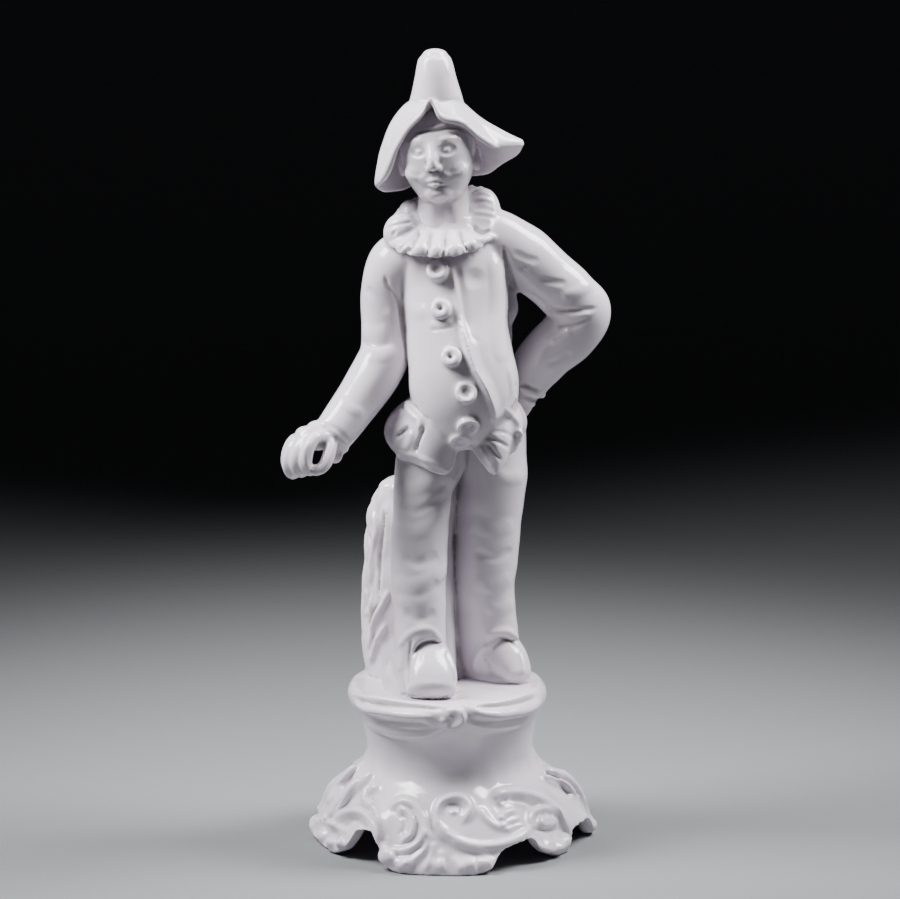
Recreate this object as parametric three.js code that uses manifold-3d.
// A glazed porcelain figure of a commedia dell'arte comedian on a scrolled rocaille base.
// The figure, the tree stump behind the legs and the base are luted together and fired as one
// piece, so the model is one solid. Millimetres, +Z up, the figure faces -Y, and +X is on the
// viewer's right. The origin is under the middle of the object's own bounding box.
import * as THREE from 'three';
import { mergeVertices } from 'three/addons/utils/BufferGeometryUtils.js';
import Module from 'manifold-3d';

const wasm = await Module();
wasm.setup();

// Sizes of the figure
const FIGURE_HEIGHT = 190.8; // deck of the base to the top of the hat
const LUTING_DEPTH = 1.2; // how far feet and stump are pressed into the deck
const BRIM_THICKNESS = 2.4;
const RUFF_THICKNESS = 2.6;
const SKIRT_THICKNESS = 2.4; // of the jacket's short skirt
const BUTTON_RADIUS = 2.7; // to the middle of the rolled rim
const BUTTON_ROLL = 1.15; // radius of the rolled rim
const FINGER_RADIUS = 1.75;
const CUFF_ROLL = 1.6;

const WELD = 0.28; // points of the joined surface closer than this become one

// Sizes of the base
const BASE_HEIGHT = 49.6; // table to deck
const RIM_RADIUS = 30.2;
const RIM_DEPTH = 34; // half the deck from front to back, where it is a little longer
const WAIST_RADIUS = 25.2;
const WAIST_HEIGHT = 30;
const FOOT_RADIUS = 41.6; // at the table
const WALL = 4.6; // the base is open below and hollow
const DECK_THICKNESS = 4.5;
const ARCH_HEIGHT = 9; // of the gaps between the feet
const ARCH_FADE = 20; // height where the arches no longer bend the wall
const LEAN_START = 18; // the lean sets in over this height below the deck
const SKIRT_LEAN = 0.9; // the base below the rim stands this much to the viewer's right
const SCROLL_ROLL = 1.7; // radius of the raised scrolls
const SWAG_ROLL = 1.8; // radius of the draped beads under the rim

// The figure is drawn 192 high from the deck, and all of its carving follows its height.
const DRAWN_HEIGHT = 192;
const SCALE = FIGURE_HEIGHT / DRAWN_HEIGHT;

const rad = THREE.MathUtils.degToRad;
const Y = new THREE.Vector3(0, 1, 0);
const Z = new THREE.Vector3(0, 0, 1);
const at = (x, y, z) => new THREE.Vector3(x, y, z);

// Solids and their joins

function solidOf(geometry) {
  const bare = geometry.clone();
  bare.deleteAttribute('normal');
  bare.deleteAttribute('uv');
  const merged = mergeVertices(bare, 1e-4);
  const solid = new wasm.Manifold(
    new wasm.Mesh({
      numProp: 3,
      vertProperties: merged.attributes.position.array,
      triVerts: new Uint32Array(merged.index.array),
    }),
  );
  if (solid.volume() < 0) throw new Error('a form is inside out');
  return solid;
}

function geometryOf(solid) {
  const mesh = solid.getMesh();
  return new THREE.BufferGeometry()
    .setAttribute('position', new THREE.BufferAttribute(mesh.vertProperties, 3))
    .setIndex(new THREE.BufferAttribute(mesh.triVerts, 1));
}

const joined = (geometries) => geometries.map(solidOf).reduce((a, b) => a.add(b));

// Draws together the ends of the short edges that joining leaves along a seam, where that
// changes neither the form's topology nor the way a face looks. Pockets closed in are filled.
function welded(solid) {
  const skin = solid.decompose().reduce((a, b) => (b.volume() > a.volume() ? b : a));
  const geometry = geometryOf(skin);
  const position = geometry.attributes.position;
  const pointAt = (i) => new THREE.Vector3().fromBufferAttribute(position, i);
  const points = Array.from({ length: position.count }, (_, i) => pointAt(i));
  const faces = points.map(() => new Set());
  const corners = geometry.index.array;
  for (let i = 0; i < corners.length; i += 3) {
    const face = Array.from(corners.slice(i, i + 3));
    for (const corner of face) faces[corner].add(face);
  }
  const normal = (face) => new THREE.Triangle(...face.map((c) => points[c])).getNormal(at(0, 0, 0));
  const around = (corner) => new Set([...faces[corner]].flat().filter((c) => c !== corner));
  const edges = [...new Set(faces.flatMap((set) => [...set]))]
    .flatMap(([a, b, c]) => [[a, b], [b, c], [c, a]])
    .filter(([a, b]) => a < b && points[a].distanceTo(points[b]) < WELD)
    .sort(([a, b], [c, d]) => points[a].distanceTo(points[b]) - points[c].distanceTo(points[d]));
  for (const edge of edges) {
    for (const [kept, gone] of [edge, [edge[1], edge[0]]]) {
      if (!faces[kept].size || !faces[gone].size) continue;
      if (points[kept].distanceTo(points[gone]) > WELD) continue;
      const near = around(kept);
      if (!near.has(gone) || [...around(gone)].filter((c) => near.has(c)).length !== 2) continue;
      const moved = [...faces[gone]].filter((face) => !face.includes(kept));
      const turned = moved.map((face) => face.map((c) => (c === gone ? kept : c)));
      if (turned.some((face, i) => normal(face).dot(normal(moved[i])) < 0.2)) continue;
      for (const face of [...faces[gone]]) {
        for (const corner of face) faces[corner].delete(face);
      }
      for (const face of turned) {
        for (const corner of face) faces[corner].add(face);
      }
      break;
    }
  }
  const rest = [...new Set(faces.flatMap((set) => [...set]))];
  return geometryOf(solidOf(geometry.setIndex(rest.flat())));
}

// Moves every vertex of a geometry by a function of its place.
function bend(geometry, place) {
  const position = geometry.attributes.position;
  const p = new THREE.Vector3();
  for (let i = 0; i < position.count; i++) {
    p.fromBufferAttribute(position, i);
    place(p);
    position.setXYZ(i, p.x, p.y, p.z);
  }
  return geometry;
}

// A smooth run through rows of numbers, read at a share 0 to 1 of its length.
function smoothRows(rows) {
  return (share) => {
    const s = THREE.MathUtils.clamp(share, 0, 1) * (rows.length - 1);
    const i = Math.min(Math.floor(s), rows.length - 2);
    const t = s - i;
    const row = (k) => rows[THREE.MathUtils.clamp(k, 0, rows.length - 1)];
    return rows[0].map((_, c) => {
      const [a, b, d, e] = [row(i - 1)[c], row(i)[c], row(i + 1)[c], row(i + 2)[c]];
      return b + 0.5 * t * (d - a + t * (2 * a - 5 * b + 4 * d - e + t * (3 * (b - d) + e - a)));
    });
  };
}

// The same for a closed round: rows start with their azimuth in degrees, in rising order.
function roundRows(rows) {
  const count = rows.length;
  const row = (k) => {
    const turns = Math.floor(k / count);
    return rows[k - turns * count].map((v, c) => (c ? v : v + 360 * turns));
  };
  return (azimuth) => {
    const a = THREE.MathUtils.euclideanModulo(azimuth - rows[0][0], 360) + rows[0][0];
    let i = count - 1;
    while (rows[i][0] > a) i--;
    const t = (a - row(i)[0]) / (row(i + 1)[0] - row(i)[0]);
    const ease = t * t * (3 - 2 * t);
    return row(i).map((v, c) => v + (row(i + 1)[c] - v) * ease);
  };
}

// A rounded form drawn out along stations [x, y, z, half width, half depth]. Its width lies
// square to the side vector, and relief(share, angle) swells it by a share of its radius.
function drawnOut(stations, { around = 12, along = 10, side = Y, relief } = {}) {
  const row = smoothRows(stations);
  const spine = (share) => at(...row(share).slice(0, 3));
  const last = along - 2;
  return bend(new THREE.SphereGeometry(1, around, along), (p) => {
    const ring = Math.round((Math.acos(THREE.MathUtils.clamp(p.y, -1, 1)) / Math.PI) * along);
    const share = THREE.MathUtils.clamp((ring - 1) / last, 0, 1);
    const angle = Math.atan2(p.z, p.x);
    const centre = spine(share);
    const step = 0.01;
    const tangent = spine(Math.min(share + step, 1)).sub(spine(Math.max(share - step, 0)));
    tangent.normalize();
    const width = side.clone().cross(tangent).normalize();
    const depth = tangent.clone().cross(width);
    const [halfWidth, halfDepth] = row(share).slice(3);
    if (ring === 0 || ring === along) {
      const cap = 0.45 * Math.min(halfWidth, halfDepth) * (ring ? 1 : -1);
      p.copy(centre).addScaledVector(tangent, cap);
      return;
    }
    const swell = relief ? relief(share, angle) : 1;
    p.copy(centre);
    p.addScaledVector(width, halfWidth * swell * Math.cos(angle));
    p.addScaledVector(depth, halfDepth * swell * Math.sin(angle));
  });
}

// A round roll of clay through points, fattest in the middle and pointed at its ends.
function roll(points, radius, { around = 6, along = 8, taper = 0.35, side = Y } = {}) {
  const curve = new THREE.CatmullRomCurve3(points);
  const stations = Array.from({ length: along + 1 }, (_, i) => {
    const share = i / along;
    const r = radius * (taper + (1 - taper) * Math.sin(Math.PI * Math.min(0.9, 0.15 + share)));
    return [...curve.getPointAt(share).toArray(), r, r];
  });
  return drawnOut(stations, { around, along: along + 1, side });
}

// An egg of three half axes about a centre, turned by Euler angles in degrees.
function egg(centre, half, { around = 12, along = 8, turn = [0, 0, 0] } = {}) {
  return new THREE.SphereGeometry(1, around, along)
    .scale(...half)
    .applyMatrix4(new THREE.Matrix4().makeRotationFromEuler(new THREE.Euler(...turn.map(rad))))
    .translate(...centre);
}

// Base

// The outer profile as [radius, height] from rim to foot, and the hollow inside it.
const outerProfile = [
  [RIM_RADIUS - 1.6, BASE_HEIGHT],
  [RIM_RADIUS, BASE_HEIGHT - 2.4],
  [RIM_RADIUS - 0.4, BASE_HEIGHT - 5.4],
  [RIM_RADIUS - 2.8, BASE_HEIGHT - 9.6],
  [WAIST_RADIUS + 0.8, WAIST_HEIGHT + 5],
  [WAIST_RADIUS, WAIST_HEIGHT - 1],
  [WAIST_RADIUS + 1.3, WAIST_HEIGHT - 5.4],
  [FOOT_RADIUS - 10.8, WAIST_HEIGHT - 10],
  [FOOT_RADIUS - 6, 13.5],
  [FOOT_RADIUS - 3, 7],
  [FOOT_RADIUS, 0],
];
const outerRow = smoothRows(outerProfile);

function outerRadius(height) {
  let low = 0;
  let high = 1;
  for (let i = 0; i < 24; i++) {
    const middle = (low + high) / 2;
    if (outerRow(middle)[1] > height) low = middle;
    else high = middle;
  }
  return outerRow(low)[0];
}

// Azimuth 0 is the front and 90 the viewer's right. Each row has how far the wall stands out
// there and how high its lower edge arches. The feet are the rows with no arch.
const footPlan = roundRows([
  [-133, -1, 1],
  [-116, 0.6, 0.7],
  [-104, 1.8, 0],
  [-90, 1.2, 0.15],
  [-76, -1.4, 0.05],
  [-66, -2, 0],
  [-57, -2, 0.2],
  [-50, -2, 0.6],
  [-44, -2, 1.15],
  [-36, -1.8, 1.25],
  [-31, -1.2, 0.8],
  [-27, -1, 0.2],
  [-22, -0.8, 0],
  [0, -1.2, 0],
  [14, -1, 0],
  [19, -1.2, 0.15],
  [25, -2, 0.7],
  [33, -2, 0.9],
  [40, -2.4, 0.95],
  [46, -2.6, 0.5],
  [53, -2.8, 0.2],
  [62, -2.8, 0],
  [69, -2.6, 0],
  [73, -1.2, 1.1],
  [82, 1.4, 1.25],
  [90, 2.8, 0.7],
  [97, 3.6, 0],
  [106, 3.6, 0],
  [120, 2, 0],
  [138, -1, 1],
  [158, 0, 0],
  [202, 0, 0],
  [223, -1.6, 1],
]);

const azimuthOf = (x, y) => THREE.MathUtils.radToDeg(Math.atan2(x, -y));
const footWeight = (height) => Math.max(0, 1 - height / ARCH_FADE) ** 1.5;

function footShift(azimuth, height) {
  const [, lobe, arch] = footPlan(azimuth);
  const lean = SKIRT_LEAN * Math.sin(rad(azimuth)) * Math.min(1, (BASE_HEIGHT - height) / LEAN_START);
  const bulge = lobe * Math.max(0, 1 - (height / WAIST_HEIGHT) ** 2);
  return { out: bulge + lean, up: arch * ARCH_HEIGHT * footWeight(height) };
}

// How much longer than wide the base is at a height: only towards the rim.
function depthAt(height) {
  const share = (height - WAIST_HEIGHT) / (BASE_HEIGHT - WAIST_HEIGHT);
  return 1 + (RIM_DEPTH / RIM_RADIUS - 1) * THREE.MathUtils.smoothstep(share, 0, 0.8);
}

function baseShell() {
  const rings = outerProfile.length;
  const outer = Array.from({ length: rings }, (_, i) => outerRow(i / (rings - 1)));
  const ceiling = BASE_HEIGHT - DECK_THICKNESS;
  const inner = [0, 10, 20].map((height) => [outerRadius(height) - WALL, height]);
  inner.push([WAIST_RADIUS - WALL, WAIST_HEIGHT - 2], [WAIST_RADIUS - WALL, ceiling - 3]);
  const profile = [
    [0, ceiling],
    [WAIST_RADIUS - WALL - 4, ceiling],
    ...inner.reverse(),
    ...outer.reverse(),
    [0, BASE_HEIGHT],
  ];
  const points = profile.map(([radius, height]) => new THREE.Vector2(radius, height));
  const lathe = new THREE.LatheGeometry(points, 50).rotateX(Math.PI / 2);
  return bend(lathe, (p) => {
    const radius = Math.hypot(p.x, p.y);
    const shift = footShift(azimuthOf(p.x, p.y), p.z);
    if (radius > 1) {
      const share = (radius + shift.out) / radius;
      p.set(p.x * share, p.y * share * depthAt(p.z), p.z + shift.up);
    }
  });
}

// A point on the outside of the base, lifted off it by a small height.
function onBase(azimuth, height, lift = 0) {
  const shift = footShift(azimuth, height);
  const slope = outerRadius(height - 0.5) - outerRadius(height + 0.5);
  const tilt = Math.atan(slope);
  const radius = outerRadius(height) + shift.out + lift * Math.cos(tilt);
  const a = rad(azimuth);
  return at(
    radius * Math.sin(a),
    -radius * Math.cos(a) * depthAt(height),
    height + shift.up + lift * Math.sin(tilt),
  );
}

// A C-scroll: a spiral roll laid on the wall, about a centre given as azimuth and height. It
// starts at a clock angle, sweeps round and winds in by a share of its size.
function scroll({ azimuth, height, size, start, sweep, wind = 0.7 }) {
  const steps = Math.max(4, Math.round(Math.abs(sweep) / 50));
  const points = Array.from({ length: steps + 1 }, (_, i) => {
    const share = i / steps;
    const a = rad(start + sweep * share);
    const reach = size * (1 - wind * share);
    const level = Math.max(0.8, height + reach * Math.cos(a) * 0.85);
    const turn = THREE.MathUtils.radToDeg((reach * Math.sin(a)) / outerRadius(level));
    return onBase(azimuth + turn, level, 0.5);
  });
  return roll(points, SCROLL_ROLL, { along: steps + 1, around: 5, side: Z });
}

// A leaf rib laid on the wall through [azimuth, height] places.
function rib(places, fat = 1) {
  const points = places.map(([azimuth, height]) => onBase(azimuth, height, 0.4));
  return roll(points, SCROLL_ROLL * fat, { along: 5, around: 5, side: Z });
}

// The rocaille. The front has a large C-scroll, a curl that runs out to the right as a wave, a
// scroll over each side foot and leaf ribs, and the back repeats the scrolls more plainly.
function rocaille() {
  return [
    scroll({ azimuth: -20, height: 10.5, size: 6.6, start: -30, sweep: 400 }),
    scroll({ azimuth: 2.5, height: 15.4, size: 4.8, start: -110, sweep: 310 }),
    rib([[-5, 15], [2, 10.6], [12, 7.8], [24, 8.6], [36, 10.5]], 1.3),
    scroll({ azimuth: 53, height: 9.5, size: 6.4, start: -100, sweep: 215, wind: 0.2 }),
    rib([[20, 20], [34, 19.6], [48, 16]], 1.2),
    scroll({ azimuth: -42, height: 4.4, size: 7.2, start: -100, sweep: 200, wind: 0.1 }),
    rib([[-60, 23], [-69, 16], [-80, 8]], 1.2),
    rib([[84, 22], [92, 17], [97, 10]], 1.5),
    scroll({ azimuth: 128, height: 10.5, size: 6.4, start: 20, sweep: -300 }),
    scroll({ azimuth: -135, height: 10.5, size: 6.4, start: -20, sweep: 300 }),
  ];
}

// The cloth-like beads that hang in swags under the rim.
function swag(from, to, height, sag) {
  const points = Array.from({ length: 6 }, (_, i) => {
    const share = i / 5;
    const level = height - sag * Math.sin((Math.PI / 2) * share);
    return onBase(from + (to - from) * share, level, -0.3);
  });
  return roll(points, SWAG_ROLL, { along: 6, around: 5, taper: 0.3, side: Z });
}

function base() {
  const knot = onBase(3, BASE_HEIGHT - 7, 0.4);
  return joined([
    baseShell(),
    ...rocaille(),
    ...[-1, 1].flatMap((side) => [
      swag(side * 100, side * 4, BASE_HEIGHT - 2.6, 4),
      swag(side * 78, side * 20, BASE_HEIGHT - 7.4, 4),
    ]),
    egg(knot.toArray(), [2.4, 2.2, 3.8], { around: 7, along: 5, turn: [0, 18, 0] }),
  ]);
}

// Figure: stations are [x, y, z above the deck, half width, half depth]

const torsoStations = [
  [5, 0, 70, 13, 11.4],
  [5.2, -2.5, 79, 14.6, 13.4],
  [5.4, -5.5, 86, 15.8, 15.8],
  [5.2, -6.5, 93, 16.4, 17],
  [4.5, -5.4, 101, 16.2, 16],
  [3.6, -3.4, 111, 15.8, 14.2],
  [2.6, -1.4, 120, 16, 13.2],
  [1.6, 0, 128, 17, 12.2],
  [1.4, 1, 134, 15.5, 10.8],
  [0.6, 1.5, 140, 10, 8.6],
];

// The front of the jacket at a width and height, lifted off the cloth, and its direction there.
function onTorso(x, z, lift) {
  const row = smoothRows(torsoStations);
  let share = 0;
  while (row(share)[2] < z) share += 0.01;
  const front = (place) => {
    const [cx, cy, , halfWidth, halfDepth] = row(place);
    return cy - halfDepth * Math.sqrt(1 - ((x - cx) / halfWidth) ** 2);
  };
  const [cx, cy, , halfWidth, halfDepth] = row(share);
  const y = front(share);
  const [above, below] = [share + 0.03, share - 0.03];
  const rise = (front(above) - front(below)) / (row(above)[2] - row(below)[2]);
  const across = (x - cx) / halfWidth ** 2 / ((cy - y) / halfDepth ** 2);
  const normal = at(across, -1, rise).normalize();
  return { point: at(x, y, z).addScaledVector(normal, lift), normal };
}

// The short skirt of the jacket as [azimuth, reach from the waist's middle, height of its hem].
const skirtHem = roundRows([
  [-180, 17.5, 74],
  [-130, 18.5, 73],
  [-102, 23, 72.4],
  [-84, 25.4, 71.6],
  [-66, 23.4, 70],
  [-42, 20, 68],
  [-15, 18, 66.6],
  [-3, 16.4, 74],
  [10, 16.4, 77.5],
  [22, 17.6, 74.5],
  [36, 19.4, 68.8],
  [58, 19, 72],
  [82, 19, 77],
  [110, 18.6, 76],
  [145, 18, 73],
]);

function skirt() {
  const waist = { x: 4.8, y: -3.4, z: 89, halfWidth: 14.8, halfDepth: 13.4 };
  const profile = [[0, 0], [1, 0], [1, 0.5], [1, 1], [0, 1]];
  const points = profile.map(([out, down]) => new THREE.Vector2(1 + out, -down));
  points.push(points[0].clone());
  points.reverse();
  const lathe = new THREE.LatheGeometry(points, 34).rotateX(Math.PI / 2);
  return bend(lathe, (p) => {
    const down = Math.max(0, -p.z);
    const inset = (2 - Math.hypot(p.x, p.y)) * SKIRT_THICKNESS;
    const azimuth = azimuthOf(p.x, p.y);
    const [, reach, hem] = skirtHem(azimuth);
    const a = rad(azimuth);
    const pleat = 0.9 * down * Math.cos(rad(azimuth * 11));
    const flare = Math.sin(2.3 * down);
    const wide = waist.halfWidth + (reach - waist.halfWidth) * flare + pleat - inset;
    const deep = waist.halfDepth + (reach - 1.5 - waist.halfDepth) * flare + pleat - inset;
    p.set(
      waist.x + wide * Math.sin(a),
      waist.y - deep * Math.cos(a),
      waist.z + (hem - waist.z) * down,
    );
  });
}

// Dished buttons with a rolled rim, turned in one piece.
function buttons() {
  const places = [[-1.6, 126.6], [-1, 114.8], [1.7, 102.2], [6.1, 92], [6.5, 81.6], [4.2, 76]];
  const out = BUTTON_RADIUS + BUTTON_ROLL;
  const profile = [
    [0, -2],
    [out, -1.4],
    [out, 0.2],
    [BUTTON_RADIUS, BUTTON_ROLL],
    [BUTTON_RADIUS - BUTTON_ROLL, 0.5],
    [0, -0.7],
  ];
  const points = profile.map(([radius, level]) => new THREE.Vector2(radius, level));
  return places.map(([x, z]) => {
    const { point, normal } = onTorso(x, z, 0.9);
    const turn = new THREE.Quaternion().setFromUnitVectors(Y, normal);
    return new THREE.LatheGeometry(points, 8).applyQuaternion(turn).translate(...point);
  });
}

const trouserFolds = (folds, depth, twist) => (share, angle) =>
  1 + depth * Math.sin(Math.PI * share) * Math.sin(folds * Math.PI * 2 * share + twist * angle);

function legs() {
  const right = [
    [-3.5, -2, 80, 10.5, 11],
    [-4.8, -3, 70, 11, 11.4],
    [-6.2, -5, 60, 9.9, 10.4],
    [-6.8, -7.4, 46, 9.5, 9.8],
    [-7.6, -9.4, 32, 8.8, 9.3],
    [-7.6, -11, 20, 8.3, 8.8],
    [-7.6, -12, 12, 8.2, 9],
    [-8.6, -12.4, 5, 9.3, 10],
    [-9, -12.4, -LUTING_DEPTH, 9.6, 10.4],
  ];
  const left = [
    [11.6, 1, 80, 11, 11.5],
    [12.4, 1.2, 70, 11.4, 11.6],
    [12.8, 1.5, 62, 11.2, 10.8],
    [12, 1.8, 49, 10.8, 10.4],
    [11, 2.2, 36, 10.3, 10.2],
    [10.7, 2.6, 24, 10.2, 10.2],
    [12, 2.6, 13, 10.3, 10],
    [14.4, 2.4, -LUTING_DEPTH, 10.4, 10],
  ];
  return [
    drawnOut(right, { around: 12, along: 9, relief: trouserFolds(3, 0.03, 1) }),
    drawnOut(left, { around: 12, along: 9, relief: trouserFolds(3, 0.03, -1) }),
  ];
}

function shoes() {
  const rightFoot = [
    [-5.6, -10, 6.6, 7, 8],
    [-5.2, -15, 7.8, 7.6, 8.6],
    [-4.8, -20.5, 5.6, 8.2, 7],
    [-4.6, -25.6, 2.6, 7.4, 4.2],
  ];
  const leftFoot = [
    [13.5, 2.4, 6.4, 7, 8],
    [17, -1.2, 6.6, 7.6, 7.8],
    [19.6, -4.8, 4.4, 7, 5.6],
    [21.4, -7.6, 2.4, 5.6, 3.8],
  ];
  return [rightFoot, leftFoot].map((stations) =>
    drawnOut(stations, { around: 10, along: 7, side: Z }),
  );
}

// The stump, wound with raised strands of bark.
function stump() {
  const trunk = [
    [-9.2, 8.4, -LUTING_DEPTH, 15.6, 10],
    [-10.1, 8.8, 12, 15.7, 9.8],
    [-10.2, 9, 26, 15.3, 9.6],
    [-10.2, 9, 42, 14.4, 9.2],
    [-11, 8.6, 55, 12.6, 8.6],
    [-11.6, 8.2, 62.4, 8.6, 7],
  ];
  const bark = (share, angle) => 1 + 0.06 * Math.sin(5 * angle + 11 * share);
  return drawnOut(trunk, { around: 18, along: 7, relief: bark });
}

function arms() {
  const right = [
    [-9.4, 1, 131, 8.6, 8.6],
    [-15.2, 1, 127, 8.7, 8.6],
    [-18.7, 1.5, 118.6, 8, 7.8],
    [-18.8, 1.5, 108.6, 7.4, 7.6],
    [-19, 0.2, 101, 7.7, 7.8],
    [-20.9, -4, 95.8, 7.6, 7.6],
    [-25, -9, 90, 7.1, 7.2],
    [-29.5, -14, 84.2, 6.7, 6.8],
    [-33.2, -18, 79.2, 6.1, 6.1],
  ];
  const left = [
    [6.8, 2, 135.8, 9.2, 8.4],
    [14, 2.5, 134.4, 9.6, 9.2],
    [23, 3.4, 129.4, 9.5, 9.2],
    [31.6, 4.6, 122.8, 9, 8.8],
    [38.2, 5.4, 117, 9.2, 8.4],
    [41.9, 6, 112.4, 9.4, 8],
    [37.6, 7, 105.6, 8.5, 7.8],
    [31.8, 8, 99.8, 7.8, 7.2],
    [27.8, 9, 94.8, 7.4, 6.6],
    [24.8, 9.4, 90.4, 6.4, 5.8],
  ];
  return [
    drawnOut(right, { around: 12, along: 10 }),
    drawnOut(left, { around: 12, along: 14 }),
  ];
}

// A turned-back cuff: a rolled ring about the wrist.
function cuff(centre, along, radius) {
  const turn = new THREE.Quaternion().setFromUnitVectors(Z, along.clone().normalize());
  const ring = new THREE.TorusGeometry(radius, CUFF_ROLL, 4, 9);
  return ring.applyQuaternion(turn).translate(...centre);
}

// The closed right hand: four fingers curl down round a hole, for what the hand once held, and
// the thumb closes it on the wrist's side.
function rightHand() {
  const palm = drawnOut(
    [[-34, -18.8, 78.6, 4.6, 4.8], [-36.8, -20.2, 78.4, 3.6, 4.8], [-40.2, -20.8, 78, 2.8, 5.2]],
    { around: 8, along: 5 },
  );
  const fingers = [0, 1, 2, 3].map((i) => {
    const centre = at(-38.7 - 2.1 * i, -25.4 + 2 * i, 74.4 - 0.7 * i);
    const points = [50, 110, 170, 230, 290].map((angle) => {
      const out = 3.8 * Math.cos(rad(angle));
      return centre.clone().add(at(0.65 * out, 0.76 * out, 5 * Math.sin(rad(angle))));
    });
    return roll(points, FINGER_RADIUS, { around: 5, along: 7, taper: 0.75 });
  });
  const thumb = roll(
    [at(-33.2, -20.4, 77.6), at(-33.6, -24.2, 75), at(-34.6, -26.4, 71.4), at(-38, -26.8, 69.8)],
    FINGER_RADIUS * 1.3,
    { around: 6, along: 5, taper: 0.75 },
  );
  return [palm, ...fingers, thumb, cuff([-34.8, -18.6, 77], at(-0.5, -0.48, -0.72), 6)];
}

// The left hand rests with its back behind the hip, out of a gathered cuff.
function leftHand() {
  const hand = drawnOut(
    [
      [24.4, 9.2, 93, 4.8, 5],
      [21.4, 9.8, 86.4, 4.8, 4.6],
      [17.6, 12, 80.6, 5.4, 4],
      [11, 14.6, 77.6, 5.6, 3.4],
      [6, 13.6, 76, 4.4, 3],
    ],
    { around: 8, along: 7 },
  );
  return [hand, cuff([24.6, 9.4, 88.8], at(-0.42, 0.05, -0.9), 5.6)];
}

// The ruff as [azimuth, reach, height of its outer edge, height where it meets the neck].
const ruffPlan = roundRows([
  [-150, 13.6, 145.4, 146.6],
  [-125, 13.6, 143.6, 145.4],
  [-106, 15, 141.2, 143.8],
  [-82, 18.4, 138.6, 142.4],
  [-50, 17.2, 133.8, 139.6],
  [-4, 16, 133, 138.4],
  [30, 16.2, 134.6, 139],
  [57, 16.4, 137.4, 140.6],
  [86, 17.4, 145, 144.8],
  [112, 16.2, 149, 147.6],
  [132, 14.8, 149, 148],
  [165, 14, 148, 148],
]);

function ruff() {
  const centre = at(-1.4, -0.6, 0);
  const throat = 7;
  const pleats = 10;
  const profile = [[0, -1], [1, -0.7], [1, 0.7], [0.6, 1], [0, 1]];
  const points = profile.map(([share, level]) => new THREE.Vector2(1 + share, level));
  points.push(points[0].clone());
  const lathe = new THREE.LatheGeometry(points, pleats * 4).rotateX(Math.PI / 2);
  return bend(lathe, (p) => {
    const share = Math.max(0, Math.hypot(p.x, p.y) - 1);
    const azimuth = azimuthOf(p.x, p.y);
    const [, reach, edge, root] = ruffPlan(azimuth);
    const a = rad(azimuth);
    const wave = share * Math.cos(rad(azimuth * pleats));
    const out = throat + (reach - throat + 0.8 * wave) * share;
    const level = root + (edge - root) * share ** 1.5 + 1.5 * wave + (p.z * RUFF_THICKNESS) / 2;
    p.set(centre.x + out * Math.sin(a), centre.y - out * Math.cos(a), level);
  });
}

function head() {
  const skull = [
    [-2, -5.6, 149.6, 5.6, 6],
    [-2, -4.6, 153, 8.6, 9],
    [-2, -3, 158, 10.8, 11.4],
    [-2, -2.4, 165, 11.2, 12.2],
    [-2.4, -2.2, 171, 10, 10.6],
    [-2.8, -2, 175, 7.4, 7.8],
  ];
  const neck = [
    [-0.8, 1, 134, 9.6, 8.6],
    [-1, -0.4, 143, 8.2, 8],
    [-1.6, -2, 154, 7.8, 8],
  ];
  const mask = egg([-2, -7.4, 162.6], [9.8, 8.2, 5.2], { around: 12, along: 6 });
  const nose = drawnOut(
    [[-2, -12.6, 165.6, 1.7, 2], [-2, -15.6, 161.6, 2, 2.6], [-2, -16.8, 158.8, 2.9, 2.4]],
    { around: 6, along: 5 },
  );
  const lips = roll([at(-5, -12.4, 153.6), at(-2, -13.4, 153.2), at(1, -12.4, 153.6)], 1.3, {
    around: 5,
    along: 4,
  });
  const chin = egg([-2, -10.6, 149.8], [3.4, 2.8, 2.4], { around: 6, along: 4 });
  const small = { around: 6, along: 4 };
  const ears = [-1, 1].map((s) =>
    egg([-2 + 11.2 * s, -1.8, 158.6], [1.6, 2.6, 3.8], { ...small, turn: [-10, 0, -12 * s] }),
  );
  const eyeHole = (s) => egg([-2 + 4.4 * s, -16, 163], [2.4, 3.4, 1.5], small);
  const eye = (s) => egg([-2 + 4.4 * s, -11.8, 162.9], [2, 2.2, 1.4], small);
  const face = joined([drawnOut(skull, { around: 14, along: 8 }), mask, nose, lips, chin, ...ears]);
  const open = [-1, 1].reduce((solid, s) => solid.subtract(solidOf(eyeHole(s))), face);
  return open.add(joined([eye(-1), eye(1), drawnOut(neck, { around: 10, along: 5 })]));
}

// The brim as [azimuth, reach, drop below the crown, how round the fall is]. The front is
// pinched up to a point, the viewer's left hangs beside the cheek and the right reaches out.
const brimPlan = roundRows([
  [-160, 16, 25, 1],
  [-132, 16.4, 27.2, 0.9],
  [-108, 17.2, 27.2, 0.85],
  [-90, 18.6, 25.4, 0.8],
  [-70, 16.4, 22, 0.8],
  [-52, 14.8, 14.2, 0.5],
  [-38, 13.2, 8, 0.3],
  [-22, 12.2, 4.2, 0.1],
  [-9, 12.4, -1.2, 0],
  [4, 12.2, 4, 0.1],
  [34, 13.4, 6.4, 0.1],
  [56, 15, 10.4, 0.1],
  [74, 18.4, 12.8, 0],
  [90, 25.3, 12, -0.05],
  [103, 25, 14.6, -0.05],
  [118, 23, 18.6, 0.3],
  [135, 21, 22.4, 0.6],
  [165, 17, 23.8, 1],
]);

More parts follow.
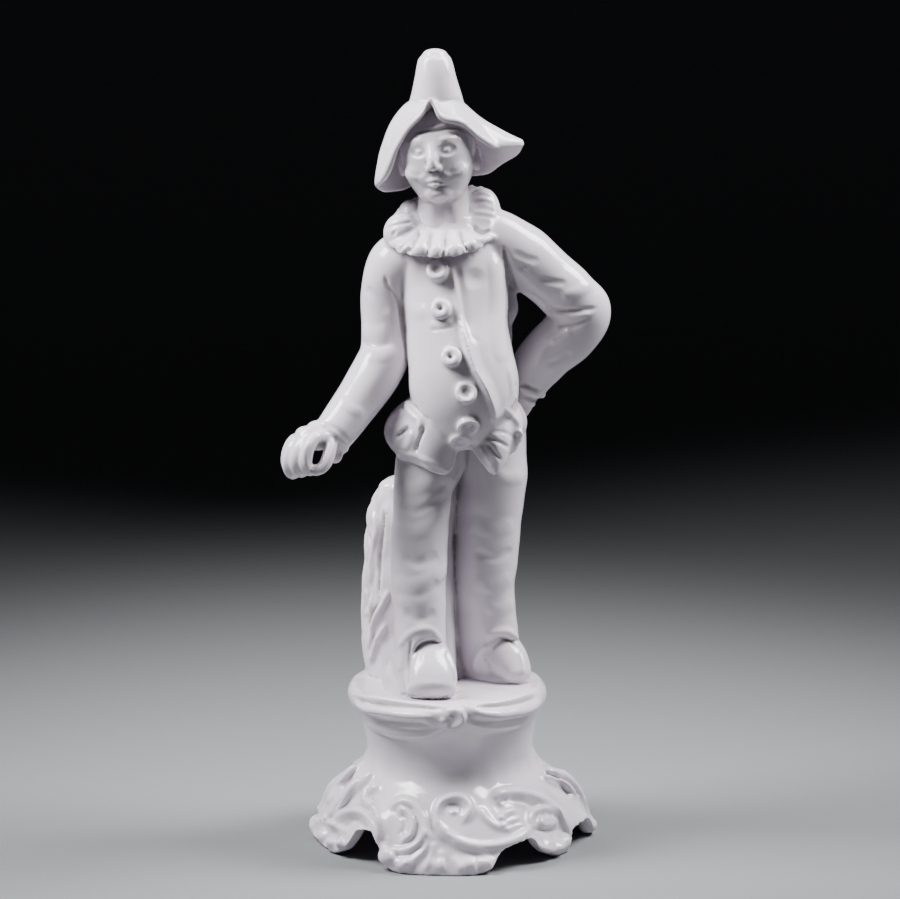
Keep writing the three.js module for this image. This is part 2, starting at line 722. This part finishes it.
function hat() {
  const crown = [
    [-2.4, -2.6, 165, 10.6, 11.4],
    [-2.6, -2.6, 170, 11, 12.2],
    [-3, -2, 175, 8.2, 8.8],
    [-3.1, -1.9, 178, 7.4, 7.6],
    [-3.4, -1.8, 184.4, 6.2, 6.4],
    [-3.7, -1.8, 189, 4.8, 4.9],
    [-3.7, -1.8, 190.8, 3, 3],
  ];
  const centre = at(-2.8, -2, 177);
  const throat = 6.6;
  const shares = [0, 0.4, 0.75, 1];
  const profile = [...shares.map((s) => [1 + s, -1]), ...shares.map((s) => [1 + s, 0]).reverse()];
  const points = profile.map(([radius, level]) => new THREE.Vector2(radius, level));
  points.push(points[0].clone());
  const lathe = new THREE.LatheGeometry(points, 36).rotateX(Math.PI / 2);
  const brim = bend(lathe, (p) => {
    const share = Math.max(0, Math.hypot(p.x, p.y) - 1);
    const azimuth = azimuthOf(p.x, p.y);
    const [, reach, drop, round] = brimPlan(azimuth);
    const a = rad(azimuth);
    const quarter = (share * Math.PI) / 2;
    const out = throat + (reach - throat) * (share + round * (Math.sin(quarter) - share));
    const fall = drop * (share + round * (1 - Math.cos(quarter) - share));
    const steep = round * share * Math.min(1, drop / 16);
    const under = p.z < -0.5 ? BRIM_THICKNESS * (1 - 0.3 * share ** 4) : 0;
    p.set(
      centre.x + (out - under * steep) * Math.sin(a),
      centre.y - (out - under * steep) * Math.cos(a),
      centre.z - fall - under * (1 - 0.7 * steep),
    );
  });
  return [drawnOut(crown, { around: 12, along: 8 }), brim];
}

function figure() {
  const forms = [
    drawnOut(torsoStations, { around: 20, along: 11 }),
    skirt(),
    ...buttons(),
    ...legs(),
    ...shoes(),
    stump(),
    ...arms(),
    ...rightHand(),
    ...leftHand(),
    ruff(),
    ...hat(),
  ];
  return joined(forms).add(head()).scale(SCALE).translate([0, 0, BASE_HEIGHT]);
}

const porcelain = new THREE.MeshStandardMaterial({
  color: 0xf1eef0,
  roughness: 0.18,
  metalness: 0,
});

const whole = welded(base().add(figure()));
whole.computeBoundingBox();
const middle = whole.boundingBox.getCenter(new THREE.Vector3());
whole.translate(-middle.x, -middle.y, 0);
whole.computeVertexNormals();

const figurine = new THREE.Mesh(whole, porcelain);
figurine.name = 'porcelain_figure';

const part = new THREE.Group();
part.add(figurine);

export default part;
